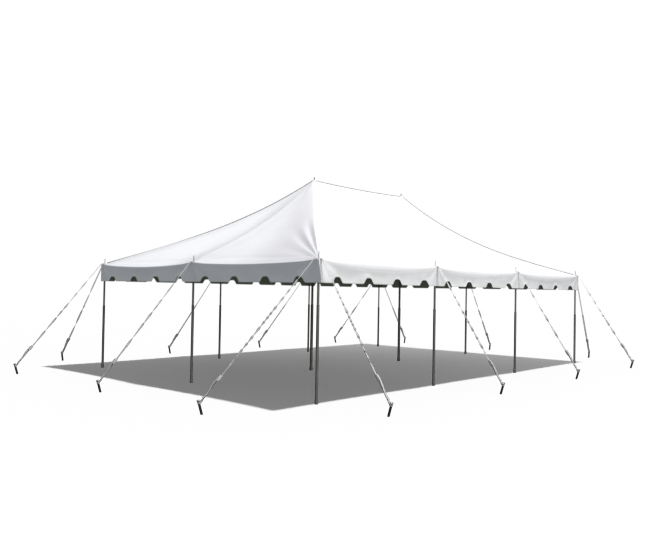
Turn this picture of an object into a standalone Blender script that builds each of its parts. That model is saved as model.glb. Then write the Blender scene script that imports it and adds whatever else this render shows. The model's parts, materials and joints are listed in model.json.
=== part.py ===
"""A marquee tent pitched on two centre poles.

One top of white coated cloth is pushed up by two centre poles and stretched between ten side poles.
Every side pole has a pin that passes through the top. A webbing guy is hooked over the pin and
tightened by its ratchet to a steel stake. A scalloped valance hangs from each eave.

Metres, +Z up. Z = 0 is the ground. X runs along the ridge and -Y is the front.
The origin is the middle of the ground that the stakes take up.
"""

import math

import bmesh
import bpy
from mathutils import Matrix, Vector

# Ground plan and heights
LONG_BAY = 3.048
LONG_BAYS = 3
END_BAY = 3.048
END_BAYS = 2
SIDE_POLE_LENGTH = 2.130
CENTRE_POLE_LENGTH = 3.957
CLEARANCE = 0.0003
SHARP_EDGE = math.radians(40.0)

# The top
CLOTH = 0.005
LANDING_LIP = 0.010
HEM = 0.015
EAVE_SAG = 0.052
EAVE_PULL = 0.030
EAVE_DROOP = 0.350
RIDGE_SAG = 0.025
LEFT_HIP_DIP = 0.30
RIGHT_HIP_DIP = 0.44
RIB_DIP = 0.24
FULL_BAY_DIP = 0.12

# The valance
VALANCE_THICKNESS = 0.004
VALANCE_DROP = 0.353
SCALLOPS_A_BAY = 4
SCALLOP_RISE = 0.095
SCALLOP_HALF_WIDTH = 0.140
SCALLOP_FULLNESS = 2.5

# Poles and their pins
SIDE_POLE_RADIUS = 0.019
CENTRE_POLE_RADIUS = 0.024
FOOT_LIP = 0.006
FOOT_HEIGHT = 0.060
SHOULDER_CHAMFER = 0.004
SIDE_PIN_RADIUS = 0.0065
CENTRE_PIN_RADIUS = 0.0095
SIDE_PIN_RISE = 0.110
CENTRE_PIN_RISE = 0.085
PIN_POINT = 0.006
PIN_PLAY = 0.0025
POLE_SIDES = 20

# Guys, from the eye on the pin to the loop on the stake
EYE_THICKNESS = 0.006
EYE_WALL = 0.018
EYE_LAP = 0.012
WEBBING_WIDTH = 0.028
WEBBING_THICKNESS = 0.004
EAVE_STANDOFF = 0.020
RATCHET_LENGTH = 0.120
RATCHET_CHEEK = 0.006
RATCHET_HEIGHT = 0.030
RATCHET_UP_GUY = 0.420
LOOP_WALL = 0.006
LOOP_WIDTH = 0.032

# Stakes, cut off at the ground
STAKE_RADIUS = 0.0145
STAKE_LENGTH = 0.200
STAKE_LEAN = math.radians(16.0)
HEAD_LIP = 0.0075
HEAD_THICKNESS = 0.016
HEAD_CHAMFER = 0.005
LOOP_BELOW_HEAD = 0.006
STAKE_SIDES = 16
END_REACH = 1.750
FRONT_REACH = 1.330
BACK_REACH = 1.730

# How far a stake stands to one side of its pole's line, towards +Y at an end and +X along a side
STAKE_DRIFT = {
    "left_front": 0.430,
    "right_front": 0.350,
    "right_middle": 0.250,
    "right_back": 0.300,
    "back_2": -0.200,
    "back_3": -0.200,
}

HALF_LENGTH = LONG_BAY * LONG_BAYS / 2
HALF_WIDTH = END_BAY * END_BAYS / 2
PEAK_X = HALF_LENGTH - LONG_BAY
TENT_Y = (FRONT_REACH - BACK_REACH) / 2
EAVE_TOP = SIDE_POLE_LENGTH + CLEARANCE + CLOTH
PEAK_TOP = CENTRE_POLE_LENGTH + CLEARANCE + CLOTH
EYE_HOLE = SIDE_PIN_RADIUS + CLEARANCE
EAVE_LANDING = max(SIDE_POLE_RADIUS, EYE_HOLE + EYE_WALL) + LANDING_LIP
EAVE_MARGIN = EAVE_LANDING + HEM
PEAK_LANDING = CENTRE_POLE_RADIUS + LANDING_LIP


def paint(name, colour, roughness, metallic=0.0):
    """A plain finish for one kind of piece."""
    material = bpy.data.materials.new(name)
    material.use_nodes = True
    shader = material.node_tree.nodes["Principled BSDF"]
    shader.inputs["Base Color"].default_value = (*colour, 1.0)
    shader.inputs["Roughness"].default_value = roughness
    shader.inputs["Metallic"].default_value = metallic
    return material


def place(name, mesh, material, parent, spot=(0.0, 0.0, 0.0), turn=0.0):
    """One named piece of the tent, at a spot in the tent's plan and turned about the vertical."""
    piece = bpy.data.objects.new(name, mesh)
    bpy.context.scene.collection.objects.link(piece)
    if not mesh.materials:
        mesh.materials.append(material)
    piece.location = spot
    piece.rotation_euler = (0.0, 0.0, turn)
    piece.parent = parent
    return piece


def finish_mesh(shape, name):
    """Close a shape's seams, face it outwards and shade its round parts smooth."""
    bmesh.ops.remove_doubles(shape, verts=shape.verts[:], dist=0.00001)
    bmesh.ops.recalc_face_normals(shape, faces=shape.faces[:])
    mesh = bpy.data.meshes.new(name)
    shape.to_mesh(mesh)
    shape.free()
    mesh.shade_smooth()
    mesh.set_sharp_from_angle(angle=SHARP_EDGE)
    return mesh


def shaped_sheet(columns, rows, spot, thickness):
    """A sheet whose point in each column and row is at spot(column, row).

    Points that meet are joined, and the second skin lies at thickness(column) from the first.
    """
    sheet = bmesh.new()
    bmesh.ops.create_grid(sheet, x_segments=columns - 1, y_segments=rows - 1, size=0.5)
    column_of = sheet.verts.layers.int.new("column")
    for point in sheet.verts:
        column = round((point.co.x + 0.5) * (columns - 1))
        row = round((point.co.y + 0.5) * (rows - 1))
        point[column_of] = column
        point.co = spot(column, row)
    bmesh.ops.remove_doubles(sheet, verts=sheet.verts[:], dist=0.00001)
    second = bmesh.ops.extrude_face_region(sheet, geom=sheet.faces[:])
    for item in second["geom"]:
        if isinstance(item, bmesh.types.BMVert):
            item.co += thickness(item[column_of])
    return sheet


def turned(profile, sides):
    """A round solid from a profile of (radius, height) points that starts and ends on its axis."""
    shape = bmesh.new()
    points = [shape.verts.new((radius, 0.0, height)) for radius, height in profile]
    edges = [shape.edges.new(pair) for pair in zip(points, points[1:])]
    bmesh.ops.spin(
        shape,
        geom=points + edges,
        cent=(0.0, 0.0, 0.0),
        axis=(0.0, 0.0, 1.0),
        angle=math.tau,
        steps=sides,
        use_merge=True,
    )
    bmesh.ops.remove_doubles(shape, verts=shape.verts[:], dist=0.00001)
    bmesh.ops.recalc_face_normals(shape, faces=shape.faces[:])
    return shape


def ring(inner, outer, height, sides):
    """A flat ring or short tube, centred on its axis."""
    shape = bmesh.new()
    corners = [(inner, -height / 2), (outer, -height / 2), (outer, height / 2), (inner, height / 2)]
    points = [shape.verts.new((radius, 0.0, level)) for radius, level in corners]
    edges = [shape.edges.new((points[i], points[(i + 1) % 4])) for i in range(4)]
    bmesh.ops.spin(
        shape,
        geom=points + edges,
        cent=(0.0, 0.0, 0.0),
        axis=(0.0, 0.0, 1.0),
        angle=math.tau,
        steps=sides,
        use_merge=True,
    )
    bmesh.ops.recalc_face_normals(shape, faces=shape.faces[:])
    return shape


FRONT_LEFT = Vector((-HALF_LENGTH, -HALF_WIDTH, 0.0))
FRONT_RIGHT = Vector((HALF_LENGTH, -HALF_WIDTH, 0.0))
BACK_RIGHT = Vector((HALF_LENGTH, HALF_WIDTH, 0.0))
BACK_LEFT = Vector((-HALF_LENGTH, HALF_WIDTH, 0.0))

# The four sides, in order round the tent: start corner, end corner, bays and the way out
SIDES = (
    (FRONT_LEFT, FRONT_RIGHT, LONG_BAYS, Vector((0.0, -1.0, 0.0))),
    (FRONT_RIGHT, BACK_RIGHT, END_BAYS, Vector((1.0, 0.0, 0.0))),
    (BACK_RIGHT, BACK_LEFT, LONG_BAYS, Vector((0.0, 1.0, 0.0))),
    (BACK_LEFT, FRONT_LEFT, END_BAYS, Vector((-1.0, 0.0, 0.0))),
)


def bay_length(side):
    """The distance between the poles of a side."""
    start, end, bays, _ = SIDES[side]
    return (end - start).length / bays


def bay_shares(side):
    """Where the top's columns stand in a bay, as shares of it from one pole towards the next."""
    beside_pole = EAVE_LANDING / bay_length(side)
    return [0.0, beside_pole, 0.125, 0.25, 0.5, 0.75, 0.875, 1.0 - beside_pole]


def slackness(side, share):
    """0 over a pole's landing and 1 in the middle of its bay, rising as a taut cloth sags."""
    beside_pole = EAVE_LANDING / bay_length(side)
    inside = (share - beside_pole) / (1.0 - 2.0 * beside_pole)
    inside = min(max(inside, 0.0), 1.0)
    return 4.0 * inside * (1.0 - inside)


def hip_dip(x):
    """How far the hips of the left or the right end dip below a straight line."""
    return LEFT_HIP_DIP if x < 0.0 else RIGHT_HIP_DIP


def slope_dip(side, bay, share):
    """How far the slope above a point of the eave dips below a straight line from the ridge."""
    start, end, bays, _ = SIDES[side]
    first = hip_dip(start.x) if bay == 0 else RIB_DIP
    second = hip_dip(end.x) if bay == bays - 1 else RIB_DIP
    blend = share * share * (3.0 - 2.0 * share)
    dip = first + (second - first) * blend
    if 0 < bay < bays - 1:
        dip += (FULL_BAY_DIP - RIB_DIP) * slackness(side, share)
    return dip


def column_list():
    """The top's columns, once round the tent, as (side, bay, share, way out)."""
    columns = []
    for side, (_, _, bays, outward) in enumerate(SIDES):
        before = SIDES[side - 1][3]
        for bay in range(bays):
            for share in bay_shares(side):
                way_out = outward + before if bay == 0 and share == 0.0 else outward
                columns.append((side, bay, share, way_out))
    return columns


COLUMNS = column_list()

# Rings of the top: shares of the slope from the peak's landing down to the pole line,
# then distances outwards from the pole line
SLOPE_RINGS = (0.08, 0.20, 0.35, 0.52, 0.70, 0.86)
EAVE_RINGS = (-EAVE_LANDING, 0.0, EAVE_LANDING, EAVE_MARGIN)
RINGS = 2 + len(SLOPE_RINGS) + len(EAVE_RINGS)


def pole_line(column):
    """The point of a column that stands on the line of side poles, in plan."""
    side, bay, share, _ = column
    start, end, bays, outward = SIDES[side]
    along = start.lerp(end, (bay + share) / bays)
    return along - outward * EAVE_PULL * slackness(side, share)


def top_point(column, ring_number):
    """A point of the top's upper face."""
    side, bay, share, way_out = column
    slack = slackness(side, share)
    foot = pole_line(column)
    crown = Vector((min(max(foot.x, -PEAK_X), PEAK_X), 0.0, 0.0))
    crown_top = PEAK_TOP
    if abs(foot.x) < PEAK_X:
        crown_top -= RIDGE_SAG * slack
    landing = crown + (foot - crown).normalized() * PEAK_LANDING
    eave_top = EAVE_TOP - EAVE_SAG * slack
    if ring_number < 2:
        spot = crown if ring_number == 0 else landing
        return Vector((spot.x, spot.y, crown_top))
    if ring_number < 2 + len(SLOPE_RINGS):
        down = SLOPE_RINGS[ring_number - 2]
        spot = landing.lerp(foot, down)
        height = slope_height(crown_top, eave_top, down, slope_dip(side, bay, share))
        return Vector((spot.x, spot.y, height))
    outwards = EAVE_RINGS[ring_number - 2 - len(SLOPE_RINGS)]
    spot = foot + way_out * outwards
    on_landing = min(share, 1.0 - share) * bay_length(side) < EAVE_LANDING * 1.001
    level = EAVE_LANDING if on_landing else 0.0
    height = eave_top - EAVE_DROOP * math.copysign(max(abs(outwards) - level, 0.0), outwards)
    return Vector((spot.x, spot.y, height))


def slope_height(crown_top, eave_top, down, dip):
    """The height at a share of the way down a slope that hangs hollow between crown and eave."""
    left = 1.0 - down
    return eave_top + (crown_top - eave_top) * ((1.0 - dip) * left + dip * left ** 3)


def make_canopy(material, tent):
    """The one-piece top, with a hole for each pole's pin."""
    count = len(COLUMNS)
    sheet = shaped_sheet(
        count + 1,
        RINGS,
        lambda column, row: top_point(COLUMNS[column % count], row),
        lambda column: Vector((0.0, 0.0, -CLOTH)),
    )
    canopy = place("canopy", finish_mesh(sheet, "canopy"), material, tent)
    drills = bmesh.new()
    for x, y in side_pole_spots().values():
        add_drill(drills, x, y, EAVE_TOP, SIDE_PIN_RADIUS + PIN_PLAY)
    for x in (-PEAK_X, PEAK_X):
        add_drill(drills, x, 0.0, PEAK_TOP, CENTRE_PIN_RADIUS + PIN_PLAY)
    cutter = place("pin_holes", finish_mesh(drills, "pin_holes"), material, tent)
    cutter.hide_render = True
    cutter.display_type = "WIRE"
    holes = canopy.modifiers.new("pin_holes", "BOOLEAN")
    holes.operation = "DIFFERENCE"
    holes.object = cutter
    return canopy


def add_drill(drills, x, y, top, radius):
    """A cylinder through the cloth at one pin."""
    bmesh.ops.create_cone(
        drills,
        cap_ends=True,
        segments=POLE_SIDES,
        radius1=radius,
        radius2=radius,
        depth=CLOTH * 4,
        matrix=Matrix.Translation((x, y, top - CLOTH / 2)),
    )


# Where the points of a scallop lie, as shares of half its width from its middle
SCALLOP_STEPS = (-1.0, -0.8, -0.6, -0.3, 0.0, 0.3, 0.6, 0.8, 1.0)


def scallop(from_middle):
    """How far a valance's foot is lifted at a distance from the middle of a scallop."""
    share = min(abs(from_middle) / SCALLOP_HALF_WIDTH, 1.0)
    flare = share * share * (3.0 - 2.0 * share)
    return SCALLOP_RISE * (1.0 - flare ** SCALLOP_FULLNESS)


def valance_shares(side):
    """Where a valance's columns stand in a bay: the top's columns and the points of its scallops."""
    pitch = 1.0 / SCALLOPS_A_BAY
    across = SCALLOP_HALF_WIDTH / bay_length(side)
    shares = set(bay_shares(side))
    for number in range(SCALLOPS_A_BAY):
        middle = (number + 0.5) * pitch
        shares.update(middle + across * step for step in SCALLOP_STEPS)
    return sorted(shares)


def eave_edge(side, bay, share):
    """The top's outer edge at any share of a bay, straight between the top's own columns."""
    shares = bay_shares(side) + [1.0]
    after = next(number for number in range(1, len(shares)) if share <= shares[number] + 1e-9)
    outward = SIDES[side][3]
    first = top_point((side, bay, shares[after - 1], outward), RINGS - 1)
    second = top_point((side, bay, shares[after], outward), RINGS - 1)
    return first.lerp(second, (share - shares[after - 1]) / (shares[after] - shares[after - 1]))


def make_valance(name, side, material, tent):
    """The scalloped strip that hangs from one eave, from corner to corner."""
    start, end, bays, outward = SIDES[side]
    places = [(bay, share) for bay in range(bays) for share in valance_shares(side)] + [(bays - 1, 1.0)]
    along = (end - start).normalized()
    ends_inside = abs(outward.x) > 0.5
    reach = VALANCE_THICKNESS + CLEARANCE if ends_inside else 0.0
    pitch = bay_length(side) / SCALLOPS_A_BAY

    def spot(column, row):
        bay, share = places[column]
        edge = eave_edge(side, bay, share)
        if column == 0:
            edge -= along * (EAVE_MARGIN - reach)
        elif column == len(places) - 1:
            edge += along * (EAVE_MARGIN - reach)
        if row == 1:
            return Vector((edge.x, edge.y, edge.z - CLOTH - CLEARANCE))
        from_middle = (share * bay_length(side)) % pitch - pitch / 2
        return Vector((edge.x, edge.y, EAVE_TOP - VALANCE_DROP + scallop(from_middle)))

    strip = shaped_sheet(len(places), 2, spot, lambda column: -outward * VALANCE_THICKNESS)
    return place(name, finish_mesh(strip, name), material, tent)


def middle_poles():
    """The names and places across the tent of the poles between the corners of an end."""
    if END_BAYS == 2:
        return [("middle", 0.0)]
    return [(f"middle_{number}", -HALF_WIDTH + number * END_BAY) for number in range(1, END_BAYS)]


def side_pole_spots():
    """Each side pole's name and its place in the tent's plan, as a dictionary."""
    spots = {}
    for row, y in (("front", -HALF_WIDTH), ("back", HALF_WIDTH)):
        for number in range(LONG_BAYS + 1):
            spots[f"{row}_{number + 1}"] = (-HALF_LENGTH + number * LONG_BAY, y)
    for end, x in (("left", -HALF_LENGTH), ("right", HALF_LENGTH)):
        for name, y in middle_poles():
            spots[f"{end}_{name}"] = (x, y)
    return spots


def pole_mesh(name, radius, length, pin_radius, pin_rise):
    """A round pole with a wider foot, a chamfered shoulder and the pin that stands on it."""
    pin_top = length + CLEARANCE + CLOTH + pin_rise
    profile = [
        (0.0, 0.0),
        (radius + FOOT_LIP, 0.0),
        (radius + FOOT_LIP, FOOT_HEIGHT),
        (radius, FOOT_HEIGHT + FOOT_LIP),
        (radius, length - SHOULDER_CHAMFER),
        (radius - SHOULDER_CHAMFER, length),
        (pin_radius, length),
        (pin_radius, pin_top - PIN_POINT),
        (pin_radius / 2, pin_top),
        (0.0, pin_top),
    ]
    return finish_mesh(turned(profile, POLE_SIDES), name)


def make_poles(material, tent):
    """Two centre poles under the peaks and ten side poles under the eaves."""
    centre = pole_mesh(
        "centre_pole",
        CENTRE_POLE_RADIUS,
        CENTRE_POLE_LENGTH,
        CENTRE_PIN_RADIUS,
        CENTRE_PIN_RISE,
    )
    place("centre_pole_left", centre, material, tent, (-PEAK_X, 0.0, 0.0))
    place("centre_pole_right", centre, material, tent, (PEAK_X, 0.0, 0.0))
    side = pole_mesh(
        "side_pole",
        SIDE_POLE_RADIUS,
        SIDE_POLE_LENGTH,
        SIDE_PIN_RADIUS,
        SIDE_PIN_RISE,
    )
    for name, (x, y) in side_pole_spots().items():
        place(f"side_pole_{name}", side, material, tent, (x, y, 0.0))


def guy_list():
    """Each guy's name, its pole's spot, its stake's spot and its place in the stack of eyes on the pin."""
    spots = side_pole_spots()
    guys = []
    for row, reach in (("front", -FRONT_REACH), ("back", BACK_REACH)):
        for number in range(LONG_BAYS + 1):
            name = f"{row}_{number + 1}"
            x, y = spots[name]
            guys.append((name, (x, y), (x + STAKE_DRIFT.get(name, 0.0), y + reach), 0))
    across = [("front", -HALF_WIDTH, 1), ("back", HALF_WIDTH, 1)]
    across += [(name, y, 0) for name, y in middle_poles()]
    for end, reach in (("left", -END_REACH), ("right", END_REACH)):
        x = math.copysign(HALF_LENGTH, reach)
        for across_name, y, level in across:
            name = f"{end}_{across_name}"
            guys.append((name, (x, y), (x + reach, y + STAKE_DRIFT.get(name, 0.0)), level))
    return guys


def stake_axis():
    """The way that a stake points, leaning from its guy's pull, in the guy's own upright plane."""
    return Vector((math.sin(STAKE_LEAN), 0.0, math.cos(STAKE_LEAN)))


def stake_mesh():
    """A round steel stake with a mushroomed head, leaning along +X and cut off at the ground."""
    below_ground = STAKE_RADIUS * 2
    profile = [
        (0.0, -below_ground),
        (STAKE_RADIUS, -below_ground),
        (STAKE_RADIUS, STAKE_LENGTH - HEAD_THICKNESS),
        (STAKE_RADIUS + HEAD_LIP, STAKE_LENGTH - HEAD_THICKNESS + HEAD_CHAMFER),
        (STAKE_RADIUS + HEAD_LIP, STAKE_LENGTH - HEAD_CHAMFER),
        (STAKE_RADIUS, STAKE_LENGTH),
        (0.0, STAKE_LENGTH),
    ]
    shape = turned(profile, STAKE_SIDES)
    bmesh.ops.rotate(
        shape,
        verts=shape.verts[:],
        cent=(0.0, 0.0, 0.0),
        matrix=Matrix.Rotation(STAKE_LEAN, 3, "Y"),
    )
    everything = shape.verts[:] + shape.edges[:] + shape.faces[:]
    bmesh.ops.bisect_plane(
        shape,
        geom=everything,
        plane_co=(0.0, 0.0, 0.0),
        plane_no=(0.0, 0.0, 1.0),
        clear_inner=True,
    )
    rim = [edge for edge in shape.edges if edge.is_boundary]
    bmesh.ops.contextual_create(shape, geom=rim)
    return finish_mesh(shape, "stake")


def add_box(shape, size, matrix):
    """A plain box of one size, set by a matrix."""
    bmesh.ops.create_cube(shape, size=1.0, matrix=matrix @ Matrix.Diagonal((*size, 1.0)))


def facing(middle, along, across):
    """A matrix that puts a shape's X along one way and its Y across it, at a middle point."""
    up = along.cross(across)
    turn = Matrix((along, across, up)).transposed()
    return Matrix.Translation(middle) @ turn.to_4x4()


def add_shape(target, shape, matrix):
    """Copy a shape into another, set by a matrix."""
    shape.transform(matrix)
    spare = bpy.data.meshes.new("spare")
    shape.to_mesh(spare)
    shape.free()
    target.from_mesh(spare)
    bpy.data.meshes.remove(spare)


def webbing_strip(route):
    """Flat webbing along points in the XZ plane, its width across Y."""
    ways = [(after - before).normalized() for before, after in zip(route, route[1:])]
    depths = []
    for number in range(len(route)):
        before = ways[max(number - 1, 0)]
        after = ways[min(number, len(ways) - 1)]
        middle = (before + after).normalized()
        depths.append(Vector((-middle.z, 0.0, middle.x)) * WEBBING_THICKNESS / middle.dot(after))

    def spot(column, row):
        across = Vector((0.0, (row - 0.5) * WEBBING_WIDTH, 0.0))
        return route[column] + across - depths[column] / 2

    return shaped_sheet(len(route), 2, spot, lambda column: depths[column])


def guy_mesh(name, distance, level):
    """One guy in its own upright plane: the pin stands on Z and the stake lies towards +X."""
    eye_middle = EAVE_TOP + CLEARANCE + EYE_THICKNESS / 2 + level * (EYE_THICKNESS + CLEARANCE)
    axis = stake_axis()
    towards_tent = Vector((-axis.z, 0.0, axis.x))
    loop_middle = Vector((distance, 0.0, 0.0)) + axis * (
        STAKE_LENGTH - HEAD_THICKNESS - LOOP_BELOW_HEAD - LOOP_WIDTH / 2
    )
    loop_hole = STAKE_RADIUS + CLEARANCE
    start = Vector((EYE_HOLE + EYE_WALL - EYE_LAP, 0.0, eye_middle))
    bend = Vector((EAVE_MARGIN + EAVE_STANDOFF, 0.0, eye_middle))
    end = loop_middle + towards_tent * (loop_hole + LOOP_WALL / 2)
    strip = webbing_strip([start, bend, end])
    way = (bend - end).normalized()
    across = Vector((0.0, 1.0, 0.0))
    fittings = bmesh.new()
    add_shape(
        fittings,
        ring(EYE_HOLE, EYE_HOLE + EYE_WALL, EYE_THICKNESS, POLE_SIDES),
        Matrix.Translation((0.0, 0.0, eye_middle)),
    )
    add_shape(
        fittings,
        ring(loop_hole, loop_hole + LOOP_WALL, LOOP_WIDTH, STAKE_SIDES),
        Matrix.Translation(loop_middle) @ Matrix.Rotation(STAKE_LEAN, 4, "Y"),
    )
    add_box(
        fittings,
        (RATCHET_LENGTH, WEBBING_WIDTH + 2 * RATCHET_CHEEK, RATCHET_HEIGHT),
        facing(end + way * RATCHET_UP_GUY, way, across),
    )
    return joined(name, strip, fittings)


def joined(name, first, second):
    """The mesh of two overlapping shapes grown into one body."""
    body = bpy.data.objects.new(name, finish_mesh(first, name))
    other = bpy.data.objects.new(f"{name}_fittings", finish_mesh(second, name))
    for item in (body, other):
        bpy.context.scene.collection.objects.link(item)
    union = body.modifiers.new("union", "BOOLEAN")
    union.operation = "UNION"
    union.object = other
    view = bpy.context.evaluated_depsgraph_get()
    mesh = bpy.data.meshes.new_from_object(body.evaluated_get(view))
    mesh.name = name
    for item in (body, other):
        bpy.data.objects.remove(item)
    return mesh


def make_guys(webbing, steel, tent):
    """A guy and a stake for every side pole, and two of each at a corner."""
    stake = stake_mesh()
    for name, (pole_x, pole_y), (stake_x, stake_y), level in guy_list():
        run = Vector((stake_x - pole_x, stake_y - pole_y))
        turn = math.atan2(run.y, run.x)
        mesh = guy_mesh(f"guy_{name}", run.length, level)
        place(f"guy_{name}", mesh, webbing, tent, (pole_x, pole_y, 0.0), turn)
        place(f"stake_{name}", stake, steel, tent, (stake_x, stake_y, 0.0), turn)


for old in list(bpy.data.objects):
    bpy.data.objects.remove(old)

white_cloth = paint("white_cloth", (0.85, 0.85, 0.86), 0.45)
pole_metal = paint("pole_metal", (0.09, 0.10, 0.08), 0.50, 0.6)
white_webbing = paint("white_webbing", (0.75, 0.75, 0.72), 0.80)
stake_steel = paint("stake_steel", (0.05, 0.05, 0.04), 0.55, 0.8)

tent_centre = bpy.data.objects.new("tent_centre", None)
bpy.context.scene.collection.objects.link(tent_centre)
tent_centre.location = (0.0, TENT_Y, 0.0)

make_canopy(white_cloth, tent_centre)
for side_number, side_name in enumerate(("front", "right", "back", "left")):
    make_valance(f"valance_{side_name}", side_number, white_cloth, tent_centre)
make_poles(pole_metal, tent_centre)
make_guys(white_webbing, stake_steel, tent_centre)
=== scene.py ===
"""A marquee tent pitched on two centre poles, dressed over its solid model.

Metres, +Z up, in the solid model's own frame: X runs along the ridge and -Y is the front.
"""

import json
import math

import bmesh
import bpy
from mathutils import Matrix, Vector, noise

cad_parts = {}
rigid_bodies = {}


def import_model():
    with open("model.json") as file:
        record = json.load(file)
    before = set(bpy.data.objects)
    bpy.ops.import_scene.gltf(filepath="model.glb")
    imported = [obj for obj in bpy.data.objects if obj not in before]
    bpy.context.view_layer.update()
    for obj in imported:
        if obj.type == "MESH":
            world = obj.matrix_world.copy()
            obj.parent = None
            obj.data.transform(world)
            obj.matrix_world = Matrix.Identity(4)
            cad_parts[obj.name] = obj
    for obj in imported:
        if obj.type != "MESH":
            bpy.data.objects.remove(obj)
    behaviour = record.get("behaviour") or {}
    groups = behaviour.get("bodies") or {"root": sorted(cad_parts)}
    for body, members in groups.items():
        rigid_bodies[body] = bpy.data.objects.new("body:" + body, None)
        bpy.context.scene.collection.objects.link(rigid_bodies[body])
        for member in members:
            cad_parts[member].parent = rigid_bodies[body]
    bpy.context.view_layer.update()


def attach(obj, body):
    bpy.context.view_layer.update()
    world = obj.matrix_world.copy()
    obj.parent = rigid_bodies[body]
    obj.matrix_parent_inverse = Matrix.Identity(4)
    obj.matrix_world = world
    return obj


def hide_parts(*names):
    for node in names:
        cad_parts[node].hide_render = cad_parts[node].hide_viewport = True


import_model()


# The studio. The camera stands at eye height off the front left corner, before a plain pale floor. One
# lamp hangs high over the front, a wide soft one stands low in front, and a pale sky fills the shade.
studio = bpy.context.scene
studio.view_settings.view_transform = "Standard"
studio.cycles.use_denoising = True

camera_lens = bpy.data.cameras.new("camera")
camera_lens.lens = 38.16
camera_lens.sensor_width = 36.0
camera_lens.clip_end = 400.0
camera = bpy.data.objects.new("camera", camera_lens)
studio.collection.objects.link(camera)
heading = Matrix.Rotation(math.radians(42.776 - 90.0), 4, "Z")
pitch = Matrix.Rotation(math.radians(90.0 + 1.056), 4, "X")
roll = Matrix.Rotation(math.radians(0.993), 4, "Z")
camera.matrix_world = Matrix.Translation((-11.960, -10.224, 1.673)) @ heading @ pitch @ roll
studio.camera = camera


def studio_lamp(name, spot, aim, size, power, colour):
    """A round soft lamp at a spot, turned to face a point and hidden from the camera."""
    light = bpy.data.lights.new(name, "AREA")
    light.shape = "DISK"
    light.size = size
    light.energy = power
    light.color = colour
    lamp = bpy.data.objects.new(name, light)
    studio.collection.objects.link(lamp)
    lamp.location = spot
    lamp.rotation_euler = (Vector(aim) - Vector(spot)).to_track_quat("-Z", "Y").to_euler()
    lamp.visible_camera = False
    return lamp


high_lamp = studio_lamp(
    "high_lamp", (1.2, -4.8, 22.0), (0.0, -0.2, 2.0), 1.2, 3850.0, (1.0, 0.975, 0.982)
)
studio_lamp("front_lamp", (-1.5, -17.0, 4.5), (0.0, -0.2, 2.0), 6.0, 1050.0, (1.0, 0.985, 0.96))


def feed(node, given):
    """Set inputs of a node to values, or join them to the outputs of other nodes."""
    for socket, value in given.items():
        if isinstance(value, bpy.types.NodeSocket):
            node.id_data.links.new(value, node.inputs[socket])
        else:
            node.inputs[socket].default_value = value


def add_node(tree, kind, given, **settings):
    """A node in a tree of nodes, from what its inputs are given and its plain settings."""
    node = tree.nodes.new(kind)
    for name, value in settings.items():
        setattr(node, name, value)
    feed(node, given)
    return node


def reckoned(tree, operation, *values, **settings):
    """The result of a sum on up to three values or outputs."""
    node = add_node(tree, "ShaderNodeMath", dict(enumerate(values)), operation=operation, **settings)
    return node.outputs[0]


sky = bpy.data.worlds.new("sky")
studio.world = sky
sky.use_nodes = True
sky_tree = sky.node_tree
sky_tree.nodes.clear()
way = add_node(sky_tree, "ShaderNodeTexCoord", {}).outputs["Generated"]
climb = add_node(sky_tree, "ShaderNodeSeparateXYZ", {0: way}).outputs["Z"]
fade = add_node(sky_tree, "ShaderNodeValToRGB", {"Fac": reckoned(sky_tree, "MULTIPLY_ADD", climb, 0.5, 0.5)})
fade.color_ramp.elements[0].position = 0.46
fade.color_ramp.elements[0].color = (0.190, 0.203, 0.214, 1.0)
fade.color_ramp.elements[1].position = 0.60
fade.color_ramp.elements[1].color = (0.415, 0.437, 0.460, 1.0)
soft_light = add_node(sky_tree, "ShaderNodeBackground", {"Color": fade.outputs["Color"]})
backdrop = add_node(sky_tree, "ShaderNodeBackground", {"Color": (1.0, 1.0, 1.0, 1.0)})
seen = add_node(sky_tree, "ShaderNodeLightPath", {}).outputs["Is Camera Ray"]
chosen = add_node(
    sky_tree, "ShaderNodeMixShader", {"Fac": seen, 1: soft_light.outputs[0], 2: backdrop.outputs[0]}
)
add_node(sky_tree, "ShaderNodeOutputWorld", {"Surface": chosen.outputs[0]})


def blank_finish(name):
    """A new material and its shader."""
    material = bpy.data.materials.new(name)
    material.use_nodes = True
    return material, material.node_tree.nodes["Principled BSDF"]


ground = bmesh.new()
bmesh.ops.create_grid(ground, x_segments=1, y_segments=1, size=45.0)
ground_mesh = bpy.data.meshes.new("floor")
ground.to_mesh(ground_mesh)
ground.free()
floor = bpy.data.objects.new("floor", ground_mesh)
studio.collection.objects.link(floor)
floor_paint, floor_shader = blank_finish("floor_paint")
feed(floor_shader, {"Base Color": (0.80, 0.80, 0.79, 1.0), "Roughness": 0.9, "Specular IOR Level": 0.1})
ground_mesh.materials.append(floor_paint)
floor.is_shadow_catcher = True
floor.visible_diffuse = False
floor.visible_glossy = False

# The high lamp lights all but the floor. Two more lamps light only the floor: one that only the tent's top
# shades, to draw the dark patch under it, and one that nothing shades, to lift the patch's right end.
all_but_floor = bpy.data.collections.new("all_but_floor")
all_but_floor.objects.link(floor)
all_but_floor.collection_objects[0].light_linking.link_state = "EXCLUDE"
high_lamp.light_linking.receiver_collection = all_but_floor
floor_only = bpy.data.collections.new("floor_only")
floor_only.objects.link(floor)
cloth_shadow = bpy.data.collections.new("cloth_shadow")
shade_lamp = studio_lamp(
    "shade_lamp", (1.5, -3.7, 18.2), (0.0, -0.2, 0.0), 0.8, 17700.0, (1.0, 1.0, 1.0)
)
shade_lamp.light_linking.receiver_collection = floor_only
shade_lamp.light_linking.blocker_collection = cloth_shadow
even_lamp = studio_lamp("even_lamp", (16.0, 1.0, 12.0), (2.0, 1.0, 0.0), 4.0, 9000.0, (1.0, 1.0, 1.0))
even_lamp.light_linking.receiver_collection = floor_only
even_lamp.light_linking.blocker_collection = floor_only


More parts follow.
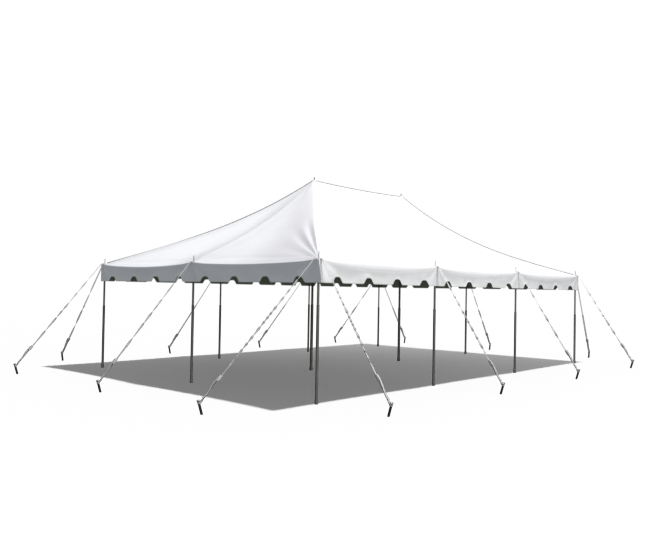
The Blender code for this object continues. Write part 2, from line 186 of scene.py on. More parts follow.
# The top. One sheet of coated cloth, cut with two peaks, is pushed up by the centre poles and stretched
# between the side poles, so it hangs hollow from ridge to eave and sags a little between the poles.
bay = 3.048
left_x = -4.572
right_x = 4.572
front_y = -3.248
back_y = 2.848
ridge_y = -0.200
peak_x = 1.524
eave_top = 2.1353
peak_top = 3.9623
eave_sag = 0.052
long_eave_sag = 0.014
left_front_sag = 0.036
eave_pull = 0.030
eave_droop = 0.350
eave_edge = 0.0498
ridge_sag = 0.025
left_hip_dip = 0.30
right_hip_dip = 0.44
left_hip_filled = 0.43
right_hip_filled = 0.21
hip_fill_reach = 1.10
rib_dip = 0.24
full_bay_dip = 0.12
pole_seat = 0.0348
peak_seat = 0.034
peak_seat_taper = 0.25
ridge_seat = 0.010
top_cloth = 0.0012
upward = Vector((0.0, 0.0, 1.0))
# Rows of points round the bend at the eave, and how near two points of a cloth lie to be joined
bend_rows = 10
weld = 0.00005

front_left = Vector((left_x, front_y, 0.0))
front_right = Vector((right_x, front_y, 0.0))
back_right = Vector((right_x, back_y, 0.0))
back_left = Vector((left_x, back_y, 0.0))
# Each side of the tent: where it starts and ends, how many bays it has and its way out
eaves = (
    (front_left, front_right, 3, Vector((0.0, -1.0, 0.0))),
    (front_right, back_right, 2, Vector((1.0, 0.0, 0.0))),
    (back_right, back_left, 3, Vector((0.0, 1.0, 0.0))),
    (back_left, front_left, 2, Vector((-1.0, 0.0, 0.0))),
)


def eased(share):
    """A share from 0 to 1 that starts and ends softly."""
    share = min(max(share, 0.0), 1.0)
    return share * share * (3.0 - 2.0 * share)


def slackness(share):
    """0 beside a pole and 1 half way to the next one, rising as taut cloth sags."""
    beside_pole = pole_seat / bay
    inside = (share - beside_pole) / (1.0 - 2.0 * beside_pole)
    inside = min(max(inside, 0.0), 1.0)
    return 4.0 * inside * (1.0 - inside)


def sag_at(side, number):
    """How far the line of a bay's eave sags half way between its poles, above the edge's own bend."""
    if side in (0, 2):
        return long_eave_sag
    return left_front_sag if (side, number) == (3, 1) else eave_sag


def slope_dip(side, number, share):
    """How far the slope above a point of the eave dips below a straight line from the ridge."""
    start, end, bays, _ = eaves[side]
    first = rib_dip
    second = rib_dip
    if number == 0:
        first = left_hip_dip if start.x < 0.0 else right_hip_dip
    if number == bays - 1:
        second = left_hip_dip if end.x < 0.0 else right_hip_dip
    dip = first + (second - first) * eased(share)
    if 0 < number < bays - 1:
        dip += (full_bay_dip - rib_dip) * slackness(share)
    if (side, number) == (3, 0):
        dip += 0.12 * slackness(share)
    return dip


# The folds that a corner's pin pulls into the top: where they lie in degrees from the long eave (the hip
# is at 45), how wide they are in degrees, how high in metres and how far out they are at their highest
corner_folds = (
    (14.0, 5.0, 0.004, 0.35),
    (23.0, 4.0, -0.005, 0.45),
    (31.5, 3.0, 0.006, 0.55),
    (38.0, 2.0, -0.006, 0.80),
    (41.6, 1.2, 0.011, 1.05),
    (43.7, 0.9, -0.009, 1.15),
    (46.0, 0.9, 0.024, 1.30),
    (48.4, 1.0, -0.029, 1.30),
    (51.6, 1.2, 0.021, 1.10),
    (55.2, 1.7, -0.022, 1.00),
    (60.0, 2.6, 0.009, 0.75),
    (67.0, 3.5, -0.007, 0.50),
    (76.0, 5.0, 0.005, 0.35),
)
# The same beside a pole between two corners, in degrees from the line of the eave
pole_folds = (
    (16.0, 5.0, -0.004, 0.30),
    (33.0, 5.0, 0.005, 0.34),
    (50.0, 5.0, -0.006, 0.38),
    (66.0, 4.5, 0.006, 0.48),
    (80.0, 4.0, -0.006, 0.55),
    (92.0, 3.5, 0.006, 0.60),
    (104.0, 4.0, -0.006, 0.52),
    (120.0, 5.0, 0.006, 0.42),
    (138.0, 5.0, -0.005, 0.36),
    (158.0, 6.0, 0.005, 0.30),
)
fold_fades = 1.4
fold_reach = 2.7
# The side poles round the tent: each one's name, its spot, whether it is at a corner, and the way from it
# along the eave
side_pole_names = (
    ("front_1", "front_2", "front_3"),
    ("front_4", "right_middle"),
    ("back_4", "back_3", "back_2"),
    ("back_1", "left_middle"),
)
side_poles = []
for names, (start, end, _, _) in zip(side_pole_names, eaves):
    way_along = (end - start).normalized()
    for number, name in enumerate(names):
        side_poles.append((name, start + way_along * bay * number, number == 0, way_along))


def fold_height(spot):
    """How far the folds round the nearest pins lift the top at a spot in plan."""
    lift = 0.0
    for name, pin, at_corner, way_along in side_poles:
        run = Vector((spot.x - pin.x, spot.y - pin.y, 0.0))
        reach = run.length - pole_seat
        if reach <= 0.0 or reach > fold_reach:
            continue
        sideways = Vector((-way_along.y, way_along.x, 0.0))
        turn = math.degrees(math.atan2(run.dot(sideways), run.dot(way_along)))
        strength = 1.0 - eased((reach - fold_fades) / (fold_reach - fold_fades))
        folds = pole_folds
        if at_corner:
            folds = corner_folds
            if way_along.y != 0.0:
                turn = 90.0 - turn
            strength *= 1.2 if name == "front_1" else 0.75
        for angle, width, height, crest in folds:
            off = (turn - angle) / width
            if abs(off) < 3.0:
                share = reach / crest
                lift += strength * height * share * math.exp(1.0 - share) * math.exp(-off * off)
    return lift


def eave_tuck(side, inside, slack):
    """The soft groove along the eave, where the slope meets the stiff sewn edge."""
    middle = 0.13 + 0.11 * slack
    off = (inside - middle) / 0.065
    depth = 0.003 if side in (0, 2) else 0.011
    return -depth * min(1.0, slack * 3.0) * math.exp(-off * off)


def roof_point(side, number, share, down):
    """A point of the top between the ridge or peak (down = 0) and the line of side poles (down = 1)."""
    start, end, bays, outward = eaves[side]
    slack = slackness(share)
    along = start.lerp(end, (number + share) / bays)
    foot = along - outward * eave_pull * slack
    crown = Vector((min(max(foot.x, -peak_x), peak_x), ridge_y, 0.0))
    from_peak = peak_x - abs(crown.x)
    along_ridge = from_peak / (2.0 * peak_x)
    crown_top = peak_top - ridge_sag * 4.0 * along_ridge * (1.0 - along_ridge)
    seat = max(ridge_seat, peak_seat - peak_seat_taper * from_peak)
    landing = crown + (foot - crown).normalized() * seat
    if down <= 0.0:
        edge = crown.lerp(landing, 1.0 + down)
        return Vector((edge.x, edge.y, crown_top))
    spot = landing.lerp(foot, down)
    left = 1.0 - down
    dip = slope_dip(side, number, share)
    low = eave_top - sag_at(side, number) * slack
    height = low + (crown_top - low) * ((1.0 - dip) * left + dip * left ** 3)
    inside = (foot - spot).length
    calm = min(1.0, down * 4.0)
    beside_corner = 1.0
    corner = start
    if number == 0:
        beside_corner = share
    if number == bays - 1 and 1.0 - share < beside_corner:
        beside_corner = 1.0 - share
        corner = end
    from_hip = beside_corner * bay * down
    filled = left_hip_filled if corner.x < 0.0 else right_hip_filled
    filled *= math.exp(-(from_hip / hip_fill_reach) ** 2) * eased((1.0 - beside_corner) / 0.6)
    steep = (crown_top - low) / bay * (1.0 - dip + 3.0 * dip * left * left)
    rounding = 0.30 * max(math.sin(math.pi * down ** 0.8), 0.0) ** 0.7
    height += filled * steep * (rounding + from_hip - math.hypot(rounding, from_hip))
    height += eave_tuck(side, inside, slack) + fold_height(spot) * calm
    height += 0.004 * calm * min(1.0, inside * 3.0) * noise.noise(Vector((spot.x * 1.3, spot.y * 1.3, 4.0)))
    return Vector((spot.x, spot.y, height))


def edge_section(side, slack):
    """The edge of the top in section, as (outwards, upwards) from the line of side poles."""
    deep, tall = (0.036, 0.112) if side in (0, 2) else (0.030, 0.030)
    deep = 0.016 + (deep - 0.016) * slack
    tall = 0.016 + (tall - 0.016) * slack
    lean = math.atan(eave_droop) * min(1.0, slack * 3.0)
    # The edge is a quarter of an ellipse, begun where its slope is that of the cloth above it
    begins = math.atan(math.tan(lean) * deep / tall)
    starts = eave_edge - deep * (1.0 - math.sin(begins))
    section = [(starts * 0.5, -math.tan(lean) * starts * 0.5)]
    for step in range(bend_rows):
        bend = begins + (math.pi / 2.0 - begins) * step / (bend_rows - 1.0)
        out = eave_edge - deep * (1.0 - math.sin(bend))
        section.append((out, -math.tan(lean) * starts - tall * (math.cos(begins) - math.cos(bend))))
    level = section[-1][1]
    # Below it hangs the hem, turned in a little
    hem = ((0.0014, 0.004), (0.0028, 0.009), (0.0040, 0.015))
    return section + [(eave_edge - tucked, level - fall) for tucked, fall in hem]


def edge_point(side, number, share, row):
    """A point of the top's edge, where it rolls over the eave and hangs down as a hem."""
    foot = roof_point(side, number, share, 1.0)
    way_out = eaves[side][3]
    if number == 0 and share == 0.0:
        way_out = way_out + eaves[side - 1][3]
    slack = slackness(share)
    outwards, upwards = edge_section(side, slack)[row]
    ripple = 0.0
    if row > bend_rows:
        along = (number + share) * bay
        ripple = 0.0008 * min(1.0, slack * 6.0) * noise.noise(Vector((along * 5.0, side * 9.0, 0.5)))
    spot = foot + way_out * (outwards + ripple)
    spot.z = foot.z + upwards
    return spot


def bay_columns(starts_at_corner, ends_at_corner):
    """Where the top's columns stand in a bay, close together near its poles and closest at a corner."""
    first = (44, 2.0) if starts_at_corner else (24, 1.6)
    second = (44, 2.0) if ends_at_corner else (24, 1.6)
    shares = [0.5 * (step / first[0]) ** first[1] for step in range(first[0])]
    shares += [1.0 - 0.5 * (1.0 - step / second[0]) ** second[1] for step in range(second[0])]
    return shares


top_columns = []
for side, (_, _, bays, _) in enumerate(eaves):
    for number in range(bays):
        for share in bay_columns(number == 0, number == bays - 1):
            top_columns.append((side, number, share))
slope_rows = [-1.0, -0.5, 0.0]
slope_steps = 52
for step in range(1, slope_steps + 1):
    even = step / slope_steps
    slope_rows.append(even - 0.11 * math.sin(math.tau * even))
edge_rows = len(edge_section(0, 0.0))


def top_spot(column, row):
    """Where a point of the top lies."""
    side, number, share = top_columns[column % len(top_columns)]
    if row < len(slope_rows):
        return roof_point(side, number, share, slope_rows[row])
    return edge_point(side, number, share, row - len(slope_rows))


def soiling_and_painted_light(spot):
    """How dark the top is at a spot, from 0 to 1: random soiling, and on the left end painted shade at its
    front by the hip and painted light (cleaner cloth) at its back.
    """
    usual = 0.50 + 0.16 * noise.noise(Vector((spot.x * 0.5, spot.y * 0.5, 9.0)))
    behind_rib = spot.y - ridge_y
    left_of_peak = -peak_x - spot.x
    if left_of_peak <= abs(behind_rib):
        return usual
    # In front of the rib, painted shade darkens the left end towards its front hip
    if behind_rib < 0.0:
        shade_by_hip = eased((-behind_rib / left_of_peak - 0.30) / 0.45)
        return usual + 0.60 * shade_by_hip * eased((left_of_peak + behind_rib) / 0.10)
    # Behind the rib, painted light makes the left end's back bay cleaner and brighter
    clean = 0.80 - 0.80 * eased((behind_rib - 0.15) / (0.35 + 0.55 * left_of_peak / bay))
    share = eased((left_of_peak - behind_rib) / 0.4)
    return clean * share + usual * (1.0 - share)


def top_cut(column, row):
    """Where a point of the top lies round the tent and down the slope, in metres."""
    side, number, share = top_columns[column % len(top_columns)]
    bays_before = sum(eaves[earlier][2] for earlier in range(side)) + number
    if column == len(top_columns):
        bays_before = sum(bays for _, _, bays, _ in eaves)
    slope_length = 3.55
    if row < len(slope_rows):
        return ((bays_before + share) * bay, max(slope_rows[row], 0.0) * slope_length)
    outwards, upwards = edge_section(side, slackness(share))[row - len(slope_rows)]
    return ((bays_before + share) * bay, slope_length + outwards - upwards)


def grid_places(shape, columns, rows):
    """The points of a new flat grid in a shape, each with its column and row."""
    made = bmesh.ops.create_grid(shape, x_segments=columns, y_segments=rows, size=0.5)["verts"]
    return [(point, round((point.co.x + 0.5) * columns), round((point.co.y + 0.5) * rows)) for point in made]


def laid_cloth(name, columns, rows, spot, cut, outside, closed=False):
    """A cloth whose points lie at spot(column, row), and in the flat at cut(column, row) in metres."""
    cloth = bmesh.new()
    flat = cloth.loops.layers.uv.new("cloth")
    for point, column, row in grid_places(cloth, columns, rows):
        for corner in point.link_loops:
            corner[flat].uv = cut(column, row)
        point.co = spot(column, row)
    bmesh.ops.remove_doubles(cloth, verts=cloth.verts[:], dist=weld)
    bmesh.ops.dissolve_degenerate(cloth, edges=cloth.edges[:], dist=weld)
    if closed:
        bmesh.ops.holes_fill(cloth, edges=[edge for edge in cloth.edges if edge.is_boundary], sides=0)
    bmesh.ops.recalc_face_normals(cloth, faces=cloth.faces[:])
    if not closed and sum(face.normal.dot(outside) * face.calc_area() for face in cloth.faces) < 0.0:
        bmesh.ops.reverse_faces(cloth, faces=cloth.faces[:])
    return finished(cloth, name)


def finished(shape, name):
    """A smooth named object made from a shape, crisp along its cut edges."""
    for face in shape.faces:
        face.smooth = True
    for edge in shape.edges:
        edge.smooth = not edge.is_boundary
    mesh = bpy.data.meshes.new(name)
    shape.to_mesh(mesh)
    shape.free()
    piece = bpy.data.objects.new(name, mesh)
    studio.collection.objects.link(piece)
    return piece


def give_thickness(piece, thickness, offset):
    """A wall for a cloth whose second finish, where it has one, lies on its inside."""
    wall = piece.modifiers.new("wall", "SOLIDIFY")
    wall.thickness = thickness
    wall.offset = offset
    wall.material_offset = len(piece.data.materials) - 1
    wall.material_offset_rim = 0


def open_group(name, given, results):
    """A shader node group and its inputs, from the kinds of its inputs and the names of its results."""
    group = bpy.data.node_groups.new(name, "ShaderNodeTree")
    for socket, kind in given.items():
        group.interface.new_socket(socket, in_out="INPUT", socket_type=kind)
    for socket in results:
        group.interface.new_socket(socket, in_out="OUTPUT", socket_type="NodeSocketFloat")
    return group, group.nodes.new("NodeGroupInput").outputs


def ranged(tree, value, begins, ends, low=0.0, high=1.0, kind="LINEAR"):
    """A value made to run from low to high as it goes from begins to ends."""
    limits = {"From Min": begins, "From Max": ends, "To Min": low, "To Max": high}
    node = add_node(tree, "ShaderNodeMapRange", {"Value": value, **limits}, interpolation_type=kind)
    return node.outputs["Result"]


def blended(tree, first, second, share, kind="MIX"):
    """Two colours blended by a share."""
    given = {"Factor": share, "A": first, "B": second}
    return add_node(tree, "ShaderNodeMix", given, data_type="RGBA", blend_type=kind).outputs["Result"]


def bumped(tree, strength, distance, sunk=False, **given):
    """The surface's normal, raised or sunk by a Height over the Normal below it, where there is one."""
    given = {"Strength": strength, "Distance": distance, **given}
    return add_node(tree, "ShaderNodeBump", given, invert=sunk).outputs["Normal"]


def weave_group():
    """Coated cloth's own surface: the threads that show through the coating, its tone and its creases."""
    group, given = open_group(
        "coated_weave",
        {"Spot": "NodeSocketVector", "Thread Pitch": "NodeSocketFloat"},
        ("Threads", "Tone", "Creases"),
    )
    spot = given["Spot"]
    per_thread = reckoned(group, "DIVIDE", 1.0, given["Thread Pitch"])
    scaled = add_node(group, "ShaderNodeVectorMath", {0: spot, "Scale": per_thread}, operation="SCALE")
    parts = add_node(group, "ShaderNodeSeparateXYZ", {0: scaled.outputs[0]}).outputs
    waves = []
    for axis in ("X", "Y"):
        turn = reckoned(group, "MULTIPLY", parts[axis], math.pi)
        waves.append(reckoned(group, "ABSOLUTE", reckoned(group, "SINE", turn)))
    soft = {"Vector": spot, "Scale": 1.1, "Detail": 6.0, "Roughness": 0.62}
    cloud = add_node(group, "ShaderNodeTexNoise", soft)
    creases = add_node(
        group,
        "ShaderNodeTexVoronoi",
        {"Vector": spot, "Scale": 1.7, "Randomness": 0.75},
        feature="DISTANCE_TO_EDGE",
    )
    results = {
        "Threads": reckoned(group, "MAXIMUM", *waves),
        "Tone": cloud.outputs["Fac"],
        "Creases": ranged(group, creases.outputs["Distance"], 0.0, 0.035, kind="SMOOTHSTEP"),
    }
    add_node(group, "NodeGroupOutput", results)
    return group


coated_weave = weave_group()


def woven(tree, thread_pitch):
    """A cloth's own map of where a spot lies in the flat, and the marks of its weave there."""
    spot = add_node(tree, "ShaderNodeUVMap", {}, uv_map="cloth").outputs["UV"]
    given = {"Spot": spot, "Thread Pitch": thread_pitch}
    return spot, add_node(tree, "ShaderNodeGroup", given, node_tree=coated_weave).outputs


def coated_cloth(name, clean, worn, gloss, soiled=False):
    """Coated cloth seen from one side, from its clean and worn colours, with the laps of its strips; with
    soiled set, the soil attribute blends in soiling and painted light and shade.
    """
    material, shader = blank_finish(name)
    tree = material.node_tree
    spot, weave = woven(tree, 0.0028)
    along = add_node(tree, "ShaderNodeSeparateXYZ", {0: spot}).outputs["X"]
    lap = ranged(tree, reckoned(tree, "PINGPONG", along, bay / 4.0), 0.019, 0.022, 1.0, 0.0, "SMOOTHSTEP")
    wear = ranged(tree, weave["Tone"], 0.35, 0.70)
    # On the top, the soil attribute adds painted light and painted shade to this blend, as well as soiling
    if soiled:
        soil_and_painted_light = add_node(tree, "ShaderNodeAttribute", {}, attribute_name="soil_and_painted_light").outputs["Fac"]
        wear = reckoned(tree, "ADD", ranged(tree, wear, 0.0, 1.0, -0.12, 0.12), soil_and_painted_light, use_clamp=True)
    normal = bumped(tree, 0.10, 0.004, Height=weave["Creases"])
    normal = bumped(tree, 0.12, 0.0004, Height=weave["Threads"], Normal=normal)
    looks = {
        "Specular IOR Level": 0.35,
        "Sheen Weight": 0.04,
        "Base Color": blended(tree, (*clean, 1.0), (*worn, 1.0), wear),
        "Roughness": ranged(tree, weave["Tone"], 0.0, 1.0, gloss - 0.06, gloss + 0.08),
        "Normal": bumped(tree, 0.5, 0.0012, Height=lap, Normal=normal),
    }
    feed(shader, looks)
    return material


white_cloth = coated_cloth("white_cloth", (0.86, 0.86, 0.865), (0.80, 0.80, 0.80), 0.42)
# The top's cloth: its clean colour shows where painted light falls, and its lavender grey worn colour comes
# in with soiling and painted shade
top_cloth_coat = coated_cloth("top_cloth_coat", (0.96, 0.96, 0.965), (0.745, 0.740, 0.755), 0.42, True)
# The lining's dark olive is painted shade: it darkens the inside of the top and of the valances to stand for
# the shade under the tent
painted_shade_lining = coated_cloth("painted_shade_lining", (0.300, 0.325, 0.235), (0.230, 0.250, 0.185), 0.60)

top_rows = len(slope_rows) + edge_rows - 1
canopy = laid_cloth("top", len(top_columns), top_rows, top_spot, top_cut, upward)
canopy.data.materials.append(top_cloth_coat)
canopy.data.materials.append(painted_shade_lining)
# The soil attribute carries the top's soiling, painted shade and painted light
soil_and_painted_light = canopy.data.attributes.new("soil_and_painted_light", "FLOAT", "POINT")
soil_and_painted_light.data.foreach_set("value", [soiling_and_painted_light(point.co) for point in canopy.data.vertices])
give_thickness(canopy, top_cloth, -1.0)
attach(canopy, "root")
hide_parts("canopy")
cloth_shadow.objects.link(canopy)


# The standing seams. Along the ridge and down two of the hips the top's strips are joined in a seam that
# stands up from the cloth, sewn through and bound with a narrow tape. The tape's grey is painted shade,
# drawing the thin shaded line along the ridge and these hips.
def roof_at(x, y, lift):
    """The point of the top above a spot in plan, raised by a lift."""
    across = y - ridge_y
    down_slope = abs(across) / bay
    past_peak = (abs(x) - peak_x) / bay
    slack = 0.0
    for _ in range(4):
        if past_peak > abs(across) / bay:
            side = 1 if x > 0.0 else 3
            down_slope = (abs(x) - peak_x) / (bay - eave_pull * slack)
            foot = ridge_y + across / down_slope
            distance = foot - front_y if side == 1 else back_y - foot
        else:
            side = 0 if across < 0.0 else 2
            down_slope = max(abs(across) / (bay - eave_pull * slack), 0.000001)
            foot = x
            if abs(x) > peak_x:
                foot = math.copysign(peak_x + (abs(x) - peak_x) / down_slope, x)
            distance = foot - left_x if side == 0 else right_x - foot
        bays = eaves[side][2]
        number = min(max(int(distance / bay), 0), bays - 1)
        share = min(max(distance / bay - number, 0.0), 1.0)
        slack = slackness(share)
    crown_x = min(max(foot, -peak_x), peak_x) if side in (0, 2) else math.copysign(peak_x, x)
    seat = max(ridge_seat, peak_seat - peak_seat_taper * (peak_x - abs(crown_x)))
    run = math.hypot(x - crown_x, across)
    length = run / max(down_slope, 0.000001)
    if run <= seat:
        down = run / seat - 1.0
    else:
        down = (run - seat) / (length - seat)
    top_here = roof_point(side, number, share, min(down, 1.0))
    return Vector((x, y, top_here.z + lift))


seam_section = (
    (-0.0022, -0.0004), (-0.0022, 0.0172), (-0.0011, 0.0192), (0.0011, 0.0192), (0.0022, 0.0172),
    (0.0022, -0.0004), (-0.0022, -0.0004),
)


def webbing_finish(name, colour, soiled, rib_pitch, glow=0.0):
    """Flat woven webbing, ribbed along its length, from its clean and soiled colours and its glow."""
    material, shader = blank_finish(name)
    tree = material.node_tree
    _, weave = woven(tree, rib_pitch)
    mixed = blended(tree, (*colour, 1.0), (*soiled, 1.0), ranged(tree, weave["Tone"], 0.45, 0.75))
    looks = {
        "Specular IOR Level": 0.25,
        "Sheen Weight": 0.15,
        "Subsurface Weight": glow,
        "Subsurface Radius": (1.0, 1.0, 0.95),
        "Subsurface Scale": 0.012,
        "Base Color": blended(tree, mixed, weave["Threads"], 0.35, "MULTIPLY"),
        "Roughness": ranged(tree, weave["Tone"], 0.0, 1.0, 0.72, 0.88),
        "Normal": bumped(tree, 0.5, 0.0008, Height=weave["Threads"]),
    }
    feed(shader, looks)
    return material


# The tape's grey is painted shade for the line along the ridge and the hips
painted_shade_tape = webbing_finish("painted_shade_tape", (0.33, 0.33, 0.335), (0.25, 0.25, 0.25), 0.0016)


def mounted(piece, slot, *finishes):
    """A piece with its finishes and its body; the slot it is given is not used."""
    for finish in finishes:
        piece.data.materials.append(finish)
    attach(piece, "root")
    return piece


def standing_seam(name, start, end, steps):
    """The seam that stands on the top between two spots in plan."""
    way = (end - start).normalized()
    sideways = Vector((-way.y, way.x, 0.0))

    def spot(column, row):
        across, lift = seam_section[row]
        share = column / steps
        middle = start.lerp(end, share - 0.06 * math.sin(math.tau * share))
        lean = 0.0018 * noise.noise(Vector((share * 31.0, start.x, end.y))) * max(lift, 0.0) / 0.019
        foot = roof_at(middle.x, middle.y, lift)
        return foot + sideways * (across + lean)

    def cut(column, row):
        return ((end - start).length * column / steps, seam_section[row][1])

    seam = laid_cloth(name, steps, len(seam_section) - 1, spot, cut, None, closed=True)
    return mounted(seam, "white_cloth", painted_shade_tape)


peaks = (Vector((-peak_x, ridge_y, 0.0)), Vector((peak_x, ridge_y, 0.0)))
peak_gap = 0.030
corner_gap = 0.045
ridge_gap = Vector((peak_gap, 0.0, 0.0))
seams = [standing_seam("ridge_seam", peaks[0] + ridge_gap, peaks[1] - ridge_gap, 90)]
for corner_name, corner, peak in (("front_right", front_right, peaks[1]), ("back_left", back_left, peaks[0])):
    inwards = (peak - corner).normalized()
    foot = corner + inwards * corner_gap
    seams.append(standing_seam(f"hip_seam_{corner_name}", foot, peak - inwards * peak_gap, 150))


# The patches. A round piece of doubled cloth is sewn over the top at each peak, and the centre pole's pin
# comes up through the hole in its middle.
patch_radius = 0.150
patch_hole = 0.013
patch_sides = 64
patch_rings = 8


def round_patch(name, middle):
    """A round patch that lies on the top about a spot in plan."""

    def cut(column, row):
        turn = math.tau * column / patch_sides
        radius = patch_hole + (patch_radius - patch_hole) * row / patch_rings
        return (math.cos(turn) * radius, math.sin(turn) * radius)

    def spot(column, row):
        x, y = cut(column, row)
        return roof_at(middle.x + x, middle.y + y, 0.0014)

    patch = laid_cloth(name, patch_sides, patch_rings, spot, cut, upward)
    mounted(patch, "white_cloth", white_cloth)
    give_thickness(patch, top_cloth, -1.0)
    return patch


patches = [round_patch("peak_patch_left", peaks[0]), round_patch("peak_patch_right", peaks[1])]


# The webbing under the top. Bands of webbing are sewn to the inside of the cloth along the ridge and from
# every side pole up to a peak, and carry the pull from pin to pin. Their near-black colour is painted shade,
# to match the shaded inside.
band_width = 0.050
band_rows = 14
band_thickness = 0.002
lining_gap = 0.0004
# Near-black painted shade for the webbing under the top
painted_shade_webbing = webbing_finish("painted_shade_webbing", (0.075, 0.078, 0.065), (0.045, 0.045, 0.038), 0.0030)


def under_band(name, start, end, steps):
    """A band of webbing on the inside of the top between two spots in plan."""
    way = (end - start).normalized()
    sideways = Vector((-way.y, way.x, 0.0))

    def spot(column, row):
        place = start.lerp(end, column / steps) + sideways * band_width * (row / band_rows - 0.5)
        # Over the folds beside a pin the band lies a little looser
        gap = lining_gap + 0.004 * (1.0 - eased((place - start).length / 2.2))
        return roof_at(place.x, place.y, -top_cloth - gap)

    def cut(column, row):
        return ((end - start).length * column / steps, band_width * (row / band_rows - 0.5))

    band = laid_cloth(name, steps, band_rows, spot, cut, upward)
    mounted(band, "white_cloth", painted_shade_webbing)
    give_thickness(band, band_thickness, -1.0)
    return band


bands = [under_band("ridge_band", peaks[0], peaks[1], 60)]
for pole_name, pin, *_ in side_poles:
    peak = peaks[0] if pin.x < 0.0 else peaks[1]
    bands.append(under_band(f"rib_band_{pole_name}", pin, peak, 90))


# The valances. A strip of the same cloth hangs from the hem on each side, scalloped along its foot. The
# pins pull soft folds into its head, and a narrow tape binds its foot.
valance_foot = 1.7823
scallops_a_bay = 4
scallop_rise = 0.095
scallop_half_width = 0.140
valance_width = 0.28
valance_rows = 16
valance_outset = 0.0012
tape_rise = 0.013
white_tape = webbing_finish("white_tape", (0.82, 0.82, 0.80), (0.66, 0.65, 0.61), 0.0020)


def scallop(along):
    """How far a valance's foot is lifted at a distance along its side."""
    pitch = bay / scallops_a_bay
    from_middle = abs(along % pitch - pitch / 2.0) / scallop_half_width
    return scallop_rise * (1.0 - eased(from_middle) ** 2.5)


def valance_places(side):
    """Distances along a side where its valance's columns stand, closest at the scallops."""
    _, _, bays, outward = eaves[side]
    beyond = eave_edge + (-0.0004 if outward.x != 0.0 else valance_outset)
    pitch = bay / scallops_a_bay
    plain = pitch / 2.0 - scallop_half_width
    places = [-beyond]
    for number in range(bays * scallops_a_bay):
        first = number * pitch
        notch = first + pitch / 2.0
        places += [first + plain * step / 8.0 for step in range(8)]
        places += [notch + scallop_half_width * (step / 9.0 - 1.0) for step in range(18)]
        places += [notch + scallop_half_width + plain * step / 8.0 for step in range(8)]
    return places + [bays * bay, bays * bay + beyond]


def valance_point(side, along, depth):
    """A point of a valance at a distance along its side and a depth from its head (0) to its foot (1)."""
    start, end, bays, outward = eaves[side]
    way = (end - start).normalized()
    on_side = min(max(along, 0.0), bays * bay - 0.000001)
    number = min(int(on_side / bay), bays - 1)
    share = on_side / bay - number
    slack = slackness(share)
    eave = roof_point(side, number, share, 1.0)
    head = eave.z + edge_section(side, slack)[bend_rows][1] - 0.002
    foot = valance_foot + scallop(along)
    height = head + (foot - head) * depth
    hang = min(1.0, (head - height) / 0.10)
    from_corner = min(along + eave_edge, bays * bay + eave_edge - along)
    free = eased(from_corner / 0.30)
    out = 0.011 * hang * depth * free * noise.noise(Vector((along * 1.9, side * 7.0, depth * 0.8)))
    out += 0.006 * hang * depth * noise.noise(Vector((along * 5.3, side * 5.0, depth * 1.5)))
    pin_level = eave_top - 0.012
    out -= 0.0040 * min(1.0, slack * 3.0) * math.sin(math.pi * depth)
    # The pull of the pins draws a shallow crease in the cloth, from pin to pin
    crease = pin_level - 0.016 - (0.115 if side in (0, 2) else 0.055) * slack ** 0.8
    over = (height - crease) / (0.016 + 0.016 * slack)
    out += 0.0035 * min(1.0, slack * 5.0) * eased(hang * 2.0) * math.exp(-over * over)
    for pole, beside in ((number, share * bay), (number + 1, (share - 1.0) * bay)):
        fall = pin_level - height
        run = math.hypot(beside, fall)
        if 0.02 < run < 0.9:
            turn = math.degrees(math.atan2(beside, max(fall, 0.0001)))
            wave = math.sin(math.radians(turn * 9.0 + side * 40.0 + pole * 25.0))
            out += 0.0045 * wave * (run / 0.22) * math.exp(1.0 - run / 0.22) * hang
    spot = start + way * on_side - outward * eave_pull * slack
    spot += way * (along - on_side) + outward * (eave_edge + valance_outset + out)
    spot.z = height
    # The corner nearest the camera kicks out to the front at its foot
    near = eased(1.0 - math.hypot(spot.x - left_x, spot.y - front_y) / 0.42)
    spot.y -= 0.052 * near * eased(depth) ** 0.7
    return spot


def hang_valance(name, side):
    """The valance of one side and the tape that binds its foot."""
    places = valance_places(side)
    outward = eaves[side][3]

    def spot(column, row):
        return valance_point(side, places[column], row / valance_rows)

    def cut(column, row):
        return (places[column], valance_width * row / valance_rows)

    valance = laid_cloth(name, len(places) - 1, valance_rows, spot, cut, outward)
    # The valance's inside takes the painted shade lining
    mounted(valance, "white_cloth", white_cloth, painted_shade_lining)
    give_thickness(valance, 0.0011, -1.0)
    # The tape's section from front to back, as (its share of the tape's rise, its side of the cloth)
    wrap = ((0.0, 1.0), (0.4, 1.0), (1.0, 1.0), (1.15, 0.0), (1.0, -1.0), (0.4, -1.0), (0.0, -1.0))

    def tape_spot(column, row):
        down, face = wrap[row]
        edge = valance_point(side, places[column], 1.0)
        above = valance_point(side, places[column], 0.95)
        before = valance_point(side, places[max(column - 1, 0)], 1.0)
        after = valance_point(side, places[min(column + 1, len(places) - 1)], 1.0)
        way = (after - before).normalized()
        upwards = (above - edge).normalized()
        upwards = (upwards - way * upwards.dot(way)).normalized()
        middle = edge - outward * 0.00055
        return middle + upwards * tape_rise * (1.0 - down) + outward * 0.0013 * face

    def tape_cut(column, row):
        return (places[column], wrap[row][0] * tape_rise)

    tape = laid_cloth(f"{name}_tape", len(places) - 1, len(wrap) - 1, tape_spot, tape_cut, outward)
    mounted(tape, "white_cloth", white_tape)
    give_thickness(tape, 0.0006, 0.0)
    return valance, tape


for name, side, length in (
    ("valance_front_cloth", 0, 9.24),
    ("valance_right_cloth", 1, 6.19),
    ("valance_back_cloth", 2, 9.24),
    ("valance_left_cloth", 3, 6.19),
):
    valance, tape = hang_valance(name, side)
    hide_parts(name[:-6])


# The poles. Round steel tubes stand on their wider feet, painted dark, with a bare steel pin on top of each.
# Their dark olive is partly painted shade, and the centre poles under the top take a darker copy as painted
# shade. The paint is scratched and soiled in patches.
side_pole_shoulder = 2.1300
centre_pole_shoulder = 3.9570


